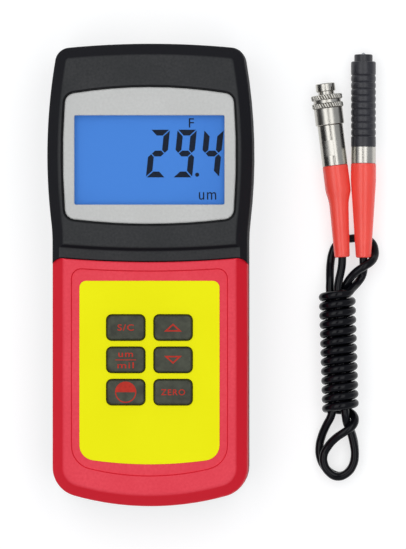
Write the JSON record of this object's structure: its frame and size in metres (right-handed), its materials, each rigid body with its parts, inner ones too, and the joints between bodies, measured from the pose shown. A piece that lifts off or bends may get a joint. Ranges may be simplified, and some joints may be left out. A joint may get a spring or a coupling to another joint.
{
  "type": "coating thickness gauge",
  "caption": "Handheld coating thickness gauge with a display head, a keypad under a red cover and a sliding battery door, with its pen probe on a wrapped lead that ends in a plug.",
  "frame": {"origin": "middle of the handset's back face, halfway along its length", "axes": "+X across the handset to the viewer's right, +Y along it towards the display head, +Z out of the face; the handset lies on its back"},
  "size_m": [0.1154, 0.161, 0.032],
  "materials": {
    "case_black": "fine matt texture",
    "cover_red": "satin",
    "bezel_grey": "satin",
    "lens_clear": "clear",
    "lcd_blue": "lit from behind",
    "backlight_white": "clear white",
    "inner_black": "matt",
    "strip_rubber": "matt",
    "board_green": "solder mask",
    "label_yellow": "printed film",
    "key_rubber": "silicone rubber",
    "cell_wrap": "plain wrap",
    "nickel": "bright nickel plate",
    "zinc_steel": "zinc plated",
    "core_steel": "turned",
    "contact_gold": "gold flash",
    "copper": "enamelled wire",
    "boot_red": "soft satin",
    "grip_black": "satin",
    "sleeve_black": "satin",
    "lead_black": "glossy PVC"
  },
  "bodies": {
    "handset": {"rear_case": "case_black", "front_case": "case_black", "grip_cover": "cover_red", "case_screws": "zinc_steel", "display_bezel": "bezel_grey", "display_lens": "lens_clear", "lcd_glass": "lcd_blue", "backlight": "backlight_white", "display_tray": "inner_black", "contact_strips": "strip_rubber", "main_board": "board_green", "board_screws": "zinc_steel", "keypad_mat": "key_rubber", "keypad_label": "label_yellow", "cell_1": "cell_wrap", "cell_2": "cell_wrap", "cell_3": "cell_wrap", "cell_4": "cell_wrap", "battery_plates": "nickel", "battery_springs": "nickel", "socket_shell": "nickel", "socket_insert": "inner_black", "socket_pins": "contact_gold", "socket_nut": "nickel", "probe_boot": "boot_red", "probe_ferrule": "nickel", "probe_grip": "grip_black", "probe_core": "core_steel", "sensor_spring": "core_steel", "plug_body": "nickel", "plug_insert": "inner_black", "plug_contacts": "contact_gold", "plug_boot": "boot_red", "lead_wrap": "lead_black", "probe_lead": "lead_black", "plug_lead": "lead_black", "top_loop": "lead_black", "front_loop": "lead_black", "back_loop": "lead_black"},
    "door": {"battery_door": "case_black"},
    "scale_key": {"key_scale": "key_rubber"},
    "up_key": {"key_up": "key_rubber"},
    "units_key": {"key_units": "key_rubber"},
    "down_key": {"key_down": "key_rubber"},
    "power_key": {"key_power": "key_rubber"},
    "zero_key": {"key_zero": "key_rubber"},
    "sensor": {"sensor_sleeve": "sleeve_black", "sensor_tip": "core_steel", "sensor_coil": "copper"},
    "ring": {"coupling_ring": "nickel"}
  },
  "joints": [
    {"name": "door_slide", "type": "slide", "parent": "handset", "child": "door", "axis": [0, -1, 0], "range_m": [0, 0.072]},
    {"name": "scale_key_press", "type": "slide", "parent": "handset", "child": "scale_key", "axis": [0, 0, -1], "range_m": [0, 0.0008], "stiffness_N_per_m": 900, "springref_m": -0.0008},
    {"name": "up_key_press", "type": "slide", "parent": "handset", "child": "up_key", "axis": [0, 0, -1], "range_m": [0, 0.0008], "stiffness_N_per_m": 900, "springref_m": -0.0008},
    {"name": "units_key_press", "type": "slide", "parent": "handset", "child": "units_key", "axis": [0, 0, -1], "range_m": [0, 0.0008], "stiffness_N_per_m": 900, "springref_m": -0.0008},
    {"name": "down_key_press", "type": "slide", "parent": "handset", "child": "down_key", "axis": [0, 0, -1], "range_m": [0, 0.0008], "stiffness_N_per_m": 900, "springref_m": -0.0008},
    {"name": "power_key_press", "type": "slide", "parent": "handset", "child": "power_key", "axis": [0, 0, -1], "range_m": [0, 0.0008], "stiffness_N_per_m": 900, "springref_m": -0.0008},
    {"name": "zero_key_press", "type": "slide", "parent": "handset", "child": "zero_key", "axis": [0, 0, -1], "range_m": [0, 0.0008], "stiffness_N_per_m": 900, "springref_m": -0.0008},
    {"name": "sensor_press", "type": "slide", "parent": "handset", "child": "sensor", "axis": [0, -0.9996, 0.0279], "range_m": [0, 0.002], "stiffness_N_per_m": 500, "springref_m": -0.002, "deforming": ["sensor_spring"]},
    {"name": "ring_turn", "type": "hinge", "parent": "handset", "child": "ring", "pos_m": [0.0641, 0.0382, 0.00572], "axis": [-0.1219, 0.9925, -0.0105], "continuous": true}
  ]
}
